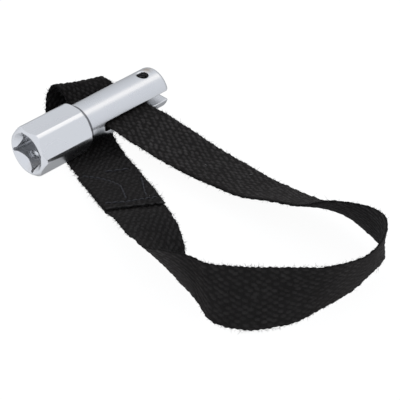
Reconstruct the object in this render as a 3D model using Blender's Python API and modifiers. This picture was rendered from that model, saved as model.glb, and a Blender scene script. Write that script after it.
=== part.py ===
"""Oil filter wrench of the strap kind: a steel driver with a square drive, and a sewn loop of webbing.

The driver lies along X with its square drive facing -X, and the loop of webbing lies out towards -Y.
+Z is up, and the webbing under the driver lies on Z = 0. Lengths are in metres.
"""

import math

import bmesh
import bpy
import numpy as np
from mathutils import Vector

MM = 0.001

# Driver: hexagon head, round shank, lengthwise slot that is open at the far end.
HEX_ACROSS_FLATS = 21.0 * MM
HEX_CORNER_RADIUS = 11.75 * MM
HEX_LENGTH = 28.4 * MM
SHOULDER_RADIUS = 10.6 * MM
SHANK_RADIUS = 9.57 * MM
DRIVER_LENGTH = 76.0 * MM
END_CHAMFER = 0.8 * MM
FACE_RADIUS = 10.1 * MM
FACE_CHAMFER = 0.9 * MM

# Square drive socket for a 12.7 mm (half inch) drive. Its sides are turned against the hexagon's flats.
DRIVE_SIDE = 12.9 * MM
DRIVE_DEPTH = 17.0 * MM
DRIVE_TURN = math.radians(30.0)
DRIVE_RELIEF_RADIUS = 0.85 * MM
DRILL_POINT = 2.6 * MM
COUNTERSINK_RADIUS = 9.2 * MM
COUNTERSINK_DEPTH = 4.0 * MM
COUNTERSINK_FLOOR_RADIUS = 5.6 * MM
DETENT_RADIUS = 2.2 * MM
DETENT_DEPTH = 0.9 * MM
DETENT_FROM_FACE = 8.0 * MM

# Slot for the webbing, and the cross hole whose spring pin closes its open end.
SLOT_START = 36.8 * MM
SLOT_GAP = 4.5 * MM
SLOT_CORNER = 0.8 * MM
SLOT_FLARE = 0.9 * MM
PIN_FROM_FACE = 68.4 * MM
PIN_HOLE_RADIUS = 2.7 * MM
PIN_RADIUS = 2.4 * MM
PIN_WALL = 0.8 * MM
PIN_SLIT = 1.1 * MM
PIN_BELOW_SURFACE = 1.6 * MM

# Webbing, and the thread of its sewn lap.
WEBBING_WIDTH = 25.4 * MM
WEBBING_THICKNESS = 1.5 * MM
STATION_SPACING = 3.2 * MM
MEETING_GAP = 0.3 * MM
STITCH_RADIUS = 0.3 * MM
SEAM_POINT_SPACING = 1.4 * MM

# Where the driver's axis meets its drive face. The origin is under the middle of the whole object.
DRIVE_CENTRE = Vector((-28.5, 65.4, 12.3)) * MM

# The two selvedges of the webbing, left and right, at places along its run, in millimetres from DRIVE_CENTRE.
# It starts in the slot, runs out in front, stands on edge round the loop and returns under the driver,
# then turns up and over behind it to enter the slot again.
ROUTE = [
    ((37.5, 9.6, 0.0), (62.9, 9.6, 0.0)),
    ((37.7, 0.0, 0.0), (63.1, 0.0, 0.0)),
    ((38.1, -9.8, 0.0), (63.5, -9.8, 0.0)),
    ((38.6, -22.2, -1.4), (64.1, -21.4, -0.4)),
    ((39.4, -37.6, -2.8), (64.7, -36.8, -2.4)),
    ((40.3, -53.2, -3.4), (65.7, -51.8, -4.9)),
    ((41.6, -68.6, -2.9), (66.4, -67.0, -6.0)),
    ((42.5, -84.0, -1.6), (67.5, -82.5, -7.0)),
    ((45.0, -99.0, 2.6), (68.5, -98.0, -6.5)),
    ((48.0, -113.5, 6.0), (69.8, -113.5, -5.8)),
    ((52.6, -127.6, 13.0), (68.2, -129.6, -6.6)),
    ((56.0, -142.5, 16.2), (64.5, -144.0, -8.0)),
    ((54.9, -152.5, 16.0), (57.7, -149.3, -9.0)),
    ((46.0, -158.2, 13.4), (46.9, -150.5, -10.0)),
    ((35.2, -159.0, 11.4), (36.3, -150.8, -11.2)),
    ((19.8, -155.7, 14.0), (20.3, -149.8, -11.5)),
    ((8.0, -145.5, 14.8), (4.7, -147.6, -11.5)),
    ((-2.2, -133.7, 15.6), (-9.9, -141.1, -11.3)),
    ((-12.3, -121.8, 15.5), (-14.8, -127.8, -11.5)),
    ((-14.4, -112.0, 14.8), (-11.1, -116.6, -11.5)),
    ((-16.8, -101.8, 12.4), (-7.1, -106.4, -11.8)),
    ((-18.4, -91.2, 9.2), (-4.1, -96.6, -11.1)),
    ((-16.7, -81.4, 6.8), (5.9, -91.9, -6.3)),
    ((-13.0, -72.0, 5.0), (11.1, -83.6, -3.2)),
    ((-8.5, -62.5, 2.5), (15.3, -74.7, -2.0)),
    ((-2.0, -48.5, -1.5), (20.8, -59.8, -3.0)),
    ((4.5, -34.5, -5.0), (27.5, -46.0, -6.0)),
    ((10.5, -20.5, -8.5), (34.0, -31.5, -8.5)),
    ((16.6, -5.6, -11.2), (41.2, -17.2, -10.8)),
    ((24.0, 8.2, -11.5), (48.0, -2.5, -11.5)),
    ((29.0, 17.5, -11.0), (52.0, 7.0, -11.5)),
    ((33.0, 26.0, -6.5), (56.0, 16.5, -11.5)),
    ((35.8, 28.2, -1.2), (59.0, 22.5, -9.5)),
    ((37.6, 28.0, 3.6), (61.6, 24.6, -4.6)),
    ((38.5, 24.0, 6.1), (63.1, 23.6, -0.1)),
    ((38.0, 16.5, 2.0), (63.5, 16.8, 1.6)),
]

# Distances along the run, from the back of the slot, at which the webbing is divided or ends.
SLOT_RUN_END = 21.5 * MM
NEAR_ROOT_END = 56.0 * MM
LAP_CUT_END = 317.0 * MM
LAP_HIDDEN_END = 357.0 * MM
RETURN_ROOT_END = 367.0 * MM
LAP_BLEND = 9.0 * MM

# The seams of the lap, in millimetres: distance from the cut end, and distance across from the middle.
SEAMS = {
    "cut_row": [(4.6, -11.2), (3.4, -6.0), (3.0, 0.0), (3.2, 6.0), (3.0, 11.2)],
    "driver_row": [(36.6, -1.0), (35.4, 3.0), (34.6, 9.2)],
    "slanting": [
        (36.5, -11.2),
        (34.0, -8.0),
        (30.5, -4.5),
        (26.0, -2.0),
        (20.0, 0.4),
        (12.0, -0.6),
        (6.0, -1.6),
    ],
    "side": [(24.5, 11.0), (17.0, 9.4), (9.0, 7.6), (6.4, 7.4)],
}

ROUND_SEGMENTS = 72
SMALL_SEGMENTS = 28
STEEL = {"color": (0.66, 0.68, 0.71), "metallic": 1.0, "roughness": 0.28}
PIN_STEEL = {"color": (0.06, 0.06, 0.065), "metallic": 1.0, "roughness": 0.5}
WEBBING = {"color": (0.018, 0.018, 0.019), "metallic": 0.0, "roughness": 0.88}
THREAD = {"color": (0.012, 0.012, 0.015), "metallic": 0.0, "roughness": 0.7}


def clear_scene():
    for item in list(bpy.data.objects):
        bpy.data.objects.remove(item, do_unlink=True)


def new_collection(name, hidden=False):
    collection = bpy.data.collections.new(name)
    bpy.context.scene.collection.children.link(collection)
    collection.hide_render = hidden
    return collection


def material(name, look):
    result = bpy.data.materials.new(name)
    result.use_nodes = True
    shader = result.node_tree.nodes["Principled BSDF"]
    shader.inputs["Base Color"].default_value = (*look["color"], 1.0)
    shader.inputs["Metallic"].default_value = look["metallic"]
    shader.inputs["Roughness"].default_value = look["roughness"]
    return result


def add_object(name, mesh, collection, look=None):
    item = bpy.data.objects.new(name, mesh)
    collection.objects.link(item)
    if look is not None:
        mesh.materials.append(look)
    return item


def place_on_axis(item):
    """Lays a solid that was made along local Z on the driver's axis, its local origin at the drive face."""
    item.rotation_euler = (0.0, math.pi / 2, 0.0)
    item.location = DRIVE_CENTRE


def hide_cutter(item):
    item.hide_render = True
    item.display_type = "WIRE"


def turned(name, profile, collection, look=None, segments=ROUND_SEGMENTS):
    """A turned solid. The profile lists (radius, distance along the axis), starting at the far end."""
    mesh = bpy.data.meshes.new(name)
    points = [(radius, 0.0, along) for radius, along in profile]
    mesh.from_pydata(points, [(i, i + 1) for i in range(len(points) - 1)], [])
    item = add_object(name, mesh, collection, look)
    screw = item.modifiers.new("turn", "SCREW")
    screw.steps = segments
    screw.render_steps = segments
    screw.use_merge_vertices = True
    screw.merge_threshold = 0.00001
    return item


def extruded(name, outlines, depth, collection):
    """A flat outline in local XY, extruded evenly to both sides and closed. Inner outlines are holes."""
    curve = bpy.data.curves.new(name, "CURVE")
    curve.dimensions = "2D"
    curve.fill_mode = "BOTH"
    curve.extrude = depth / 2
    for outline in outlines:
        spline = curve.splines.new("POLY")
        spline.points.add(len(outline) - 1)
        for point, (x, y) in zip(spline.points, outline):
            point.co = (x, y, 0.0, 1.0)
        spline.use_cyclic_u = True
    helper = bpy.data.objects.new(name + "_outline", curve)
    bpy.context.scene.collection.objects.link(helper)
    graph = bpy.context.evaluated_depsgraph_get()
    mesh = bpy.data.meshes.new_from_object(helper.evaluated_get(graph))
    bpy.data.objects.remove(helper, do_unlink=True)
    work = bmesh.new()
    work.from_mesh(mesh)
    bmesh.ops.remove_doubles(work, verts=work.verts, dist=0.000001)
    bmesh.ops.recalc_face_normals(work, faces=work.faces)
    work.to_mesh(mesh)
    work.free()
    return add_object(name, mesh, collection)


def circle(radius, count, centre=(0.0, 0.0), start=0.0, sweep=2 * math.pi, closed=True):
    steps = count if closed else count - 1
    angles = [start + sweep * i / steps for i in range(count)]
    return [(centre[0] + radius * math.cos(a), centre[1] + radius * math.sin(a)) for a in angles]


def cut(item, cutter):
    hide_cutter(cutter)
    boolean = item.modifiers.new("cut_" + cutter.name, "BOOLEAN")
    boolean.operation = "DIFFERENCE"
    boolean.object = cutter


def smooth(item, angle=35.0):
    """Applies the modifiers, then shades the round faces smooth."""
    graph = bpy.context.evaluated_depsgraph_get()
    mesh = bpy.data.meshes.new_from_object(item.evaluated_get(graph))
    old = item.data
    item.modifiers.clear()
    item.data = mesh
    bpy.data.meshes.remove(old)
    mesh.shade_smooth()
    mesh.set_sharp_from_angle(angle=math.radians(angle))


def drive_outline():
    """The square of the socket, with a round relief in each corner."""
    half = DRIVE_SIDE / 2
    relief_centre = half - 0.35 * DRIVE_RELIEF_RADIUS
    reach = math.acos((half - relief_centre) / DRIVE_RELIEF_RADIUS)
    points = []
    for quarter in range(4):
        corner = math.pi / 4 + quarter * math.pi / 2
        centre = (
            relief_centre * math.sqrt(2) * math.cos(corner),
            relief_centre * math.sqrt(2) * math.sin(corner),
        )
        first = quarter * math.pi / 2 - reach
        last = (quarter + 1) * math.pi / 2 + reach
        points += circle(DRIVE_RELIEF_RADIUS, 9, centre, first, last - first, closed=False)
    turned_by = DRIVE_TURN
    return [
        (x * math.cos(turned_by) - y * math.sin(turned_by), x * math.sin(turned_by) + y * math.cos(turned_by))
        for x, y in points
    ]


def cut_hexagon(driver, cutters):
    """Mills the six flats, with one flat up and one down."""
    corner = HEX_ACROSS_FLATS / math.sqrt(3)
    outside = circle(1.8 * corner, 24)
    hexagon = circle(corner, 6, start=math.pi / 6 + math.pi / 3)
    length = HEX_LENGTH + 4.0 * MM
    flats = extruded("hexagon_surround", [outside, hexagon], length, cutters)
    place_on_axis(flats)
    flats.location += Vector((length / 2 - 2.0 * MM, 0.0, 0.0))
    cut(driver, flats)


def cut_socket(driver, cutters):
    """Cuts the countersink, the square, its drilled bottom and the four detent dimples."""
    over = 0.5 * MM
    slope = (COUNTERSINK_RADIUS - COUNTERSINK_FLOOR_RADIUS) / COUNTERSINK_DEPTH
    countersink = turned(
        "countersink",
        [
            (0.0, COUNTERSINK_DEPTH),
            (COUNTERSINK_FLOOR_RADIUS, COUNTERSINK_DEPTH),
            (COUNTERSINK_RADIUS + slope * over, -over),
            (0.0, -over),
        ],
        cutters,
    )
    square = extruded("drive_square", [drive_outline()], DRIVE_DEPTH + over, cutters)
    drill_radius = 0.93 * DRIVE_SIDE / 2
    drill = turned(
        "drill_point",
        [
            (0.0, DRIVE_DEPTH + DRILL_POINT),
            (drill_radius, DRIVE_DEPTH),
            (drill_radius, DRIVE_DEPTH - over),
            (0.0, DRIVE_DEPTH - over),
        ],
        cutters,
        segments=SMALL_SEGMENTS,
    )
    for cutter in (countersink, square, drill):
        place_on_axis(cutter)
        cut(driver, cutter)
    square.location += Vector(((DRIVE_DEPTH - over) / 2, 0.0, 0.0))
    for quarter in range(4):
        mesh = bpy.data.meshes.new("detent")
        ball = bmesh.new()
        bmesh.ops.create_uvsphere(ball, u_segments=16, v_segments=10, radius=DETENT_RADIUS)
        ball.to_mesh(mesh)
        ball.free()
        detent = add_object(f"detent_{quarter}", mesh, cutters)
        from_axis = DRIVE_SIDE / 2 + DETENT_DEPTH - DETENT_RADIUS
        angle = DRIVE_TURN + quarter * math.pi / 2
        # The square's own axes point to local X and Y, which lie along world -Z and Y.
        side = Vector((0.0, math.sin(angle), -math.cos(angle)))
        detent.location = DRIVE_CENTRE + Vector((DETENT_FROM_FACE, 0.0, 0.0)) + side * from_axis
        cut(driver, detent)


def cut_slot(driver, cutters):
    """Cuts the slot for the webbing and flares its open end."""
    half = SLOT_GAP / 2
    beyond = DRIVER_LENGTH + 4.0 * MM
    inner = SLOT_START + SLOT_CORNER
    outline = [(beyond, -half), (beyond, half)]
    outline += circle(SLOT_CORNER, 5, (inner, half - SLOT_CORNER), math.pi / 2, math.pi / 2, closed=False)
    outline += circle(SLOT_CORNER, 5, (inner, SLOT_CORNER - half), math.pi, math.pi / 2, closed=False)
    slot = extruded("webbing_slot", [outline], 30.0 * MM, cutters)
    reach = 2.0 * MM
    tip = half + SLOT_FLARE + reach
    wedge = [
        (DRIVER_LENGTH + reach, -tip),
        (DRIVER_LENGTH + reach, tip),
        (DRIVER_LENGTH - SLOT_FLARE - half, 0.0),
    ]
    flare = extruded("slot_flare", [wedge], 30.0 * MM, cutters)
    for cutter in (slot, flare):
        cutter.rotation_euler = (math.pi / 2, 0.0, 0.0)
        cutter.location = DRIVE_CENTRE
        cut(driver, cutter)


def cut_pin_hole(driver, cutters):
    """Drills the cross hole for the spring pin through both tines."""
    half = SHANK_RADIUS + 2.0 * MM
    profile = [(0.0, half), (PIN_HOLE_RADIUS, half), (PIN_HOLE_RADIUS, -half), (0.0, -half)]
    hole = turned("pin_hole", profile, cutters, segments=SMALL_SEGMENTS)
    hole.location = DRIVE_CENTRE + Vector((PIN_FROM_FACE, 0.0, 0.0))
    cut(driver, hole)


def make_driver(parts, cutters, look):
    driver = turned(
        "driver",
        [
            (0.0, DRIVER_LENGTH),
            (SHANK_RADIUS - END_CHAMFER, DRIVER_LENGTH),
            (SHANK_RADIUS - 0.3 * END_CHAMFER, DRIVER_LENGTH - 0.3 * END_CHAMFER),
            (SHANK_RADIUS, DRIVER_LENGTH - END_CHAMFER),
            (SHANK_RADIUS, HEX_LENGTH),
            (SHOULDER_RADIUS, HEX_LENGTH),
            (HEX_CORNER_RADIUS, HEX_LENGTH - (HEX_CORNER_RADIUS - SHOULDER_RADIUS)),
            (HEX_CORNER_RADIUS, FACE_CHAMFER + 0.4 * MM),
            (0.5 * (HEX_CORNER_RADIUS + FACE_RADIUS) + 0.25 * MM, 0.5 * FACE_CHAMFER),
            (FACE_RADIUS, 0.0),
            (0.0, 0.0),
        ],
        parts,
        look,
    )
    place_on_axis(driver)
    cut_hexagon(driver, cutters)
    cut_socket(driver, cutters)
    cut_slot(driver, cutters)
    cut_pin_hole(driver, cutters)
    smooth(driver)
    return driver


def make_spring_pin(parts, look):
    """A C-section pin: its slit faces along the driver."""
    length = 2 * (SHANK_RADIUS - PIN_BELOW_SURFACE)
    inner = PIN_RADIUS - PIN_WALL
    outer_start = math.asin(PIN_SLIT / 2 / PIN_RADIUS)
    inner_start = math.asin(PIN_SLIT / 2 / inner)
    outline = circle(PIN_RADIUS, 25, start=outer_start, sweep=2 * (math.pi - outer_start), closed=False)
    outline += circle(inner, 21, start=-inner_start, sweep=-2 * (math.pi - inner_start), closed=False)
    pin = extruded("spring_pin", [outline], length, parts)
    pin.data.materials.append(look)
    pin.location = DRIVE_CENTRE + Vector((PIN_FROM_FACE, 0.0, 0.0))
    smooth(pin)
    return pin


def smooth_through(points, per_span=24):
    """A closed Catmull-Rom curve through the points, as an array."""
    points = np.array(points, float)
    count = len(points)
    u = np.linspace(0.0, 1.0, per_span, endpoint=False)[:, None]
    spans = []
    for i in range(count):
        before, start, end, after = (points[(i + k) % count] for k in (-1, 0, 1, 2))
        spans.append(
            0.5
            * (
                2 * start
                + (end - before) * u
                + (2 * before - 5 * start + 4 * end - after) * u**2
                + (3 * start - before - 3 * end + after) * u**3
            )
        )
    return np.concatenate(spans)


class Run:
    """The middle line of the webbing and the direction across it, by distance from the back of the slot."""

    def __init__(self):
        selvedges = smooth_through([left + right for left, right in ROUTE]) * MM
        left, right = selvedges[:, :3], selvedges[:, 3:]
        centre = (left + right) / 2 + np.array(DRIVE_CENTRE)
        self.centre = np.concatenate([centre, centre[:1]])
        across = right - left
        self.across = np.concatenate([across, across[:1]])
        steps = np.linalg.norm(np.diff(self.centre, axis=0), axis=1)
        self.along = np.concatenate([[0.0], np.cumsum(steps)])
        self.length = self.along[-1]

    def read(self, table, distance):
        here = distance % self.length
        return np.array([np.interp(here, self.along, table[:, k]) for k in range(3)])

    def at(self, distance):
        """The centre, the direction across and the direction out of the face that is up in the slot."""
        nearby = 0.8 * MM
        ahead = self.read(self.centre, distance + nearby) - self.read(self.centre, distance - nearby)
        ahead /= np.linalg.norm(ahead)
        across = self.read(self.across, distance)
        across -= across.dot(ahead) * ahead
        across /= np.linalg.norm(across)
        return self.read(self.centre, distance), across, np.cross(ahead, across)


def lap_offset(distance, layer):
    """How far a layer of the lap stands off the run: the cut end lies on top, the hidden end under it."""
    half = (WEBBING_THICKNESS + MEETING_GAP) / 2
    if layer == "top":
        share = (RETURN_ROOT_END - distance) / LAP_BLEND
    else:
        share = (distance - LAP_CUT_END) / LAP_BLEND + 1.0
    share = min(max(share, 0.0), 1.0)
    eased = share * share * (3 - 2 * share)
    return half * eased * (1.0 if layer == "top" else -1.0)


def webbing_solid(name, run, start, end, layer, parts, look):
    """A flat strip of webbing from one distance to another, lofted along its twisting run."""
    count = max(3, round((end - start) / STATION_SPACING) + 1)
    work = bmesh.new()
    rings = []
    for distance in np.linspace(start, end, count):
        centre, across, out = run.at(distance)
        # The face that is up in the slot turns to the outside of the loop, and is underneath at the lap.
        offset = -lap_offset(distance, layer) if layer else 0.0
        middle = centre + out * offset
        ring = []
        for side, up in ((-1, -1), (1, -1), (1, 1), (-1, 1)):
            corner = middle + across * side * WEBBING_WIDTH / 2 + out * up * WEBBING_THICKNESS / 2
            ring.append(work.verts.new(corner))
        rings.append(ring)
    for ring, following in zip(rings, rings[1:]):
        for i in range(4):
            j = (i + 1) % 4
            work.faces.new((ring[i], ring[j], following[j], following[i]))
    work.faces.new(rings[0])
    work.faces.new(rings[-1])
    bmesh.ops.recalc_face_normals(work, faces=work.faces)
    mesh = bpy.data.meshes.new(name)
    work.to_mesh(mesh)
    work.free()
    item = add_object(name, mesh, parts, look)
    mesh.shade_smooth()
    mesh.set_sharp_from_angle(angle=math.radians(35.0))
    return item


def make_webbing(run, parts, look):
    gap = MEETING_GAP
    pieces = (
        ("webbing_wrap", RETURN_ROOT_END + gap, run.length + SLOT_RUN_END, None),
        ("webbing_near_root", SLOT_RUN_END + gap, NEAR_ROOT_END, None),
        ("webbing_loop", NEAR_ROOT_END + gap, LAP_CUT_END - gap, "bottom"),
        ("webbing_lap_under", LAP_CUT_END, LAP_HIDDEN_END, "bottom"),
        ("webbing_lap_over", LAP_CUT_END, RETURN_ROOT_END, "top"),
    )
    for name, start, end, layer in pieces:
        webbing_solid(name, run, start, end, layer, parts, look)


def smooth_seam(points):
    """Evenly spaced places along a seam, on a smooth curve through its points."""
    points = np.array(points) * MM
    steps = np.linalg.norm(np.diff(points, axis=0), axis=1)
    at_points = np.concatenate([[0.0], np.cumsum(steps)])
    count = max(3, round(at_points[-1] / SEAM_POINT_SPACING) + 1)
    places = np.linspace(0.0, at_points[-1], count)
    plain = np.stack([np.interp(places, at_points, points[:, k]) for k in range(2)], 1)
    eased = plain.copy()
    eased[1:-1] = (plain[:-2] + 2 * plain[1:-1] + plain[2:]) / 4
    return eased


def make_seam(name, run, points, parts, look):
    """One line of lockstitch on top of the lap, as a single thread."""
    places = smooth_seam(points)
    curve = bpy.data.curves.new(name, "CURVE")
    curve.dimensions = "3D"
    curve.bevel_depth = STITCH_RADIUS
    curve.bevel_resolution = 2
    curve.use_fill_caps = True
    spline = curve.splines.new("POLY")
    spline.points.add(len(places) - 1)
    for point, (from_cut, sideways) in zip(spline.points, places):
        distance = LAP_CUT_END + from_cut
        centre, across, out = run.at(distance)
        lap_top = lap_offset(distance, "top") + WEBBING_THICKNESS / 2 + MEETING_GAP + STITCH_RADIUS
        place = centre + across * sideways - out * lap_top
        point.co = (*place, 1.0)
    helper = bpy.data.objects.new(name + "_line", curve)
    bpy.context.scene.collection.objects.link(helper)
    graph = bpy.context.evaluated_depsgraph_get()
    mesh = bpy.data.meshes.new_from_object(helper.evaluated_get(graph))
    bpy.data.objects.remove(helper, do_unlink=True)
    work = bmesh.new()
    work.from_mesh(mesh)
    bmesh.ops.remove_doubles(work, verts=work.verts, dist=0.000001)
    bmesh.ops.recalc_face_normals(work, faces=work.faces)
    work.to_mesh(mesh)
    work.free()
    row = add_object(name, mesh, parts, look)
    mesh.shade_smooth()
    return row


def main():
    clear_scene()
    parts = new_collection("oil_filter_wrench")
    cutters = new_collection("cutters", hidden=True)
    steel = material("plated_steel", STEEL)
    pin_steel = material("spring_steel", PIN_STEEL)
    webbing = material("black_webbing", WEBBING)
    thread = material("black_thread", THREAD)
    make_driver(parts, cutters, steel)
    make_spring_pin(parts, pin_steel)
    run = Run()
    make_webbing(run, parts, webbing)
    for seam, points in SEAMS.items():
        make_seam("stitches_" + seam, run, points, parts, thread)


main()
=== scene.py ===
"""Looks of the oil filter wrench: a plated steel driver, a slotted pin, and a sewn loop of woven webbing.

Lengths are in millimetres from DRIVE_CENTRE, except where a line multiplies by MM to make metres.
"""

import math

import bpy
import numpy as np
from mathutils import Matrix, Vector


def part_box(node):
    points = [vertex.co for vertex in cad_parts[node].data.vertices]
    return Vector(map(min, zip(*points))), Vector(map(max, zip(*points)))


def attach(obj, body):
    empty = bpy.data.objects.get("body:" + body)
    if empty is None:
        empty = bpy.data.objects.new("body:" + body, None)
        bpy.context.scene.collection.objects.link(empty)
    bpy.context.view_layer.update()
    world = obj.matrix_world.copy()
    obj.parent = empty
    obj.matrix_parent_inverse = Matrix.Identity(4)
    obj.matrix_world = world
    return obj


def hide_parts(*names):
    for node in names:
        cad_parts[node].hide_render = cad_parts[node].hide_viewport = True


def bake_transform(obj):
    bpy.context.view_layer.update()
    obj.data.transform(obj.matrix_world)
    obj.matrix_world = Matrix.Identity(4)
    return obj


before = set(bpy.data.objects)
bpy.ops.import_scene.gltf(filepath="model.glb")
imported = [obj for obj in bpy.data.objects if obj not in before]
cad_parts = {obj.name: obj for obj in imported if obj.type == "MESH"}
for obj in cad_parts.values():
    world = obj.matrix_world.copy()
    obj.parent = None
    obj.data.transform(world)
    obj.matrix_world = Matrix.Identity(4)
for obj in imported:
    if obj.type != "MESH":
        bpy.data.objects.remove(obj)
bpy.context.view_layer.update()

MM = 0.001
RANDOM = np.random.default_rng(7)

driver_low, driver_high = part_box("driver")
# The middle of the drive face. The driver's axis runs from here along +X.
driver_middle = (driver_low + driver_high) / 2
DRIVE_CENTRE = Vector((driver_low.x, driver_middle.y, driver_middle.z))

# ---------------------------------------------------------------- driver sizes, in mm from DRIVE_CENTRE

HEX_HALF_FLATS = 10.5
HEX_CORNER_RADIUS = 11.57
HEX_LENGTH = 28.4
SHOULDER_RADIUS = 10.6
SHANK_RADIUS = 9.57
DRIVER_LENGTH = (driver_high.x - driver_low.x) / MM
END_ROUNDING = 0.9
FACE_RADIUS = 10.1
FACE_CHAMFER = 0.9
DRIVE_HALF_SIDE = 6.45
DRIVE_DEPTH = 17.0
DRIVE_TURN = math.radians(30.0)
DRIVE_RELIEF_RADIUS = 0.85
DRILL_POINT = 2.6
COUNTERSINK_RADIUS = 9.2
COUNTERSINK_DEPTH = 4.0
COUNTERSINK_FLOOR_RADIUS = 5.6
DETENT_RADIUS = 2.5
DETENT_DEPTH = 1.0
DETENT_FROM_FACE = 6.8
SLOT_START = 36.8
SLOT_HALF_GAP = 2.25
SLOT_CORNER = 0.8
TINE_ROUNDING = 1.7
PIN_FROM_FACE = 68.4
PIN_HOLE_RADIUS = 2.7
PIN_HOLE_CHAMFER = 0.45
PIN_RADIUS = 2.4
PIN_WALL = 0.8
PIN_SLIT = 1.1
PIN_HALF_LENGTH = SHANK_RADIUS - 2.2
# Over how much of the difference between two distances the edge between them is rounded off.
HEX_EDGE_BLEND = 0.08
SHOULDER_BLEND = 0.4
FACE_BLEND = 0.5
SHANK_BLEND = 0.35
SOCKET_BLEND = 0.3
SLOT_BLEND = 0.35
PIN_BLEND = 0.25
DRIVER_CELL = 0.36
PIN_CELL = 0.17
# How often the points of a netted surface are moved onto it, each time nearer.
SETTLING_ROUNDS = 4

# ---------------------------------------------------------------- webbing sizes, in mm

WEBBING_WIDTH = 25.4
HALF_WIDTH = WEBBING_WIDTH / 2
WARP_COUNT = 20
WARP_SPACING = WEBBING_WIDTH / WARP_COUNT
PICK_SPACING = 2.33
CORE_HALF_THICKNESS = 0.38
FLOAT_HEIGHT = 0.3
FLOAT_HALF_LENGTH = 1.16
# How far a float leans across the webbing for each millimetre along it, on either face.
FLOAT_SLANT = (0.14, -0.36)
# More turns of the weave than there are along the whole strip.
TURN_COUNT = 240
SELVEDGE_ROUNDING = 0.55
SELVEDGE_DEPTH = 1.6
SCALLOP = 0.34
SELVEDGE_UNEVENNESS = 1.1
LAYER_STEP = 1.5
SAMPLES_PER_WARP = 6
SAMPLES_PER_PICK = 6
LAP_CUT_END = 317.0
LAP_HIDDEN_END = 357.0
LAP_SETTLED = 367.0
LAP_BLEND = 9.0
CUT_SLANT = 2.0
CUT_SLANT_REACH = 25.0
CUT_THINNED = 0.35
CUT_RAGGED = 0.4
CUT_RAGGED_REACH = 1.5
# A bell of this width evens out the run and its directions.
RUN_SOFTENING = 1.6
# How far along the webbing, both ways from the slot, painted shade from the driver reaches.
DRIVER_SHADE_REACH = 27.0

# The seams of the lap: distance from the cut end, and distance across from the middle.
SEAMS = {
    "cut_row": [(4.6, -11.2), (3.4, -6.0), (3.0, 0.0), (3.2, 6.0), (3.0, 11.2)],
    "driver_row": [(36.6, -1.0), (35.4, 3.0), (34.6, 9.2)],
    "slanting": [
        (36.5, -11.2),
        (34.0, -8.0),
        (30.5, -4.5),
        (26.0, -2.0),
        (20.0, 0.4),
        (12.0, -0.6),
        (6.0, -1.6),
    ],
    "side": [(24.5, 11.0), (17.0, 9.4), (9.0, 7.6), (6.4, 7.4)],
}
# How deep the stitches of each seam are drawn into the webbing, at most.
SEAM_SUNK = {"cut_row": 0.2, "driver_row": 0.0, "slanting": 0.3, "side": 0.34}
STITCH_PITCH = 3.0
THREAD_RADIUS = 0.38
TROUGH_DEPTH = 0.3
TROUGH_STEP = 0.6

# Loose fibres on the selvedges, on the two faces and at the cut end.
FIBRE_COUNTS = (3400, 1100, 170)
FIBRE_RADIUS = 0.055
FIBRE_SHORTEST = 0.35
FIBRE_MEAN_EXTRA = 0.48
FIBRE_LONGEST = 2.8
LINT_RADIUS = 0.11

# What sets the under face apart in the webbing's weave layer.
UNDER_FACE = 40.0
# The brightest tone, dye and painted light together, that the webbing's yarn layer can hold.
TONE_SCALE = 2.5
# How bright the webbing is painted, uneven dye with painted light and shade, and how deep the relief, by
# distance along the run.
TONE_AND_RELIEF = [
    (0.0, 1.3, 0.9),
    (40.0, 1.35, 0.82),
    (65.0, 1.23, 0.8),
    (108.0, 1.35, 0.8),
    (145.0, 1.4, 0.8),
    (158.0, 1.95, 0.8),
    (178.0, 1.1, 0.6),
    (203.0, 0.7, 0.56),
    (225.0, 0.8, 0.56),
    (243.0, 0.78, 0.56),
    (257.0, 0.5, 0.5),
    (270.0, 1.3, 0.7),
    (310.0, 1.1, 0.68),
    (335.0, 0.97, 0.55),
    (350.0, 1.25, 0.7),
    (400.0, 0.85, 1.0),
    (435.0, 1.1, 0.9),
]

# Lint on the webbing: distance along the run, distance across, length, and height over the middle plane.
LINT = [
    (66.1, -2.1, 1.3, 0.75),
    (84.1, 6.1, 1.6, 0.95),
    (321.0, 8.0, 0.9, -1.5),
    (319.0, -4.0, 0.9, -1.5),
]

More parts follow.
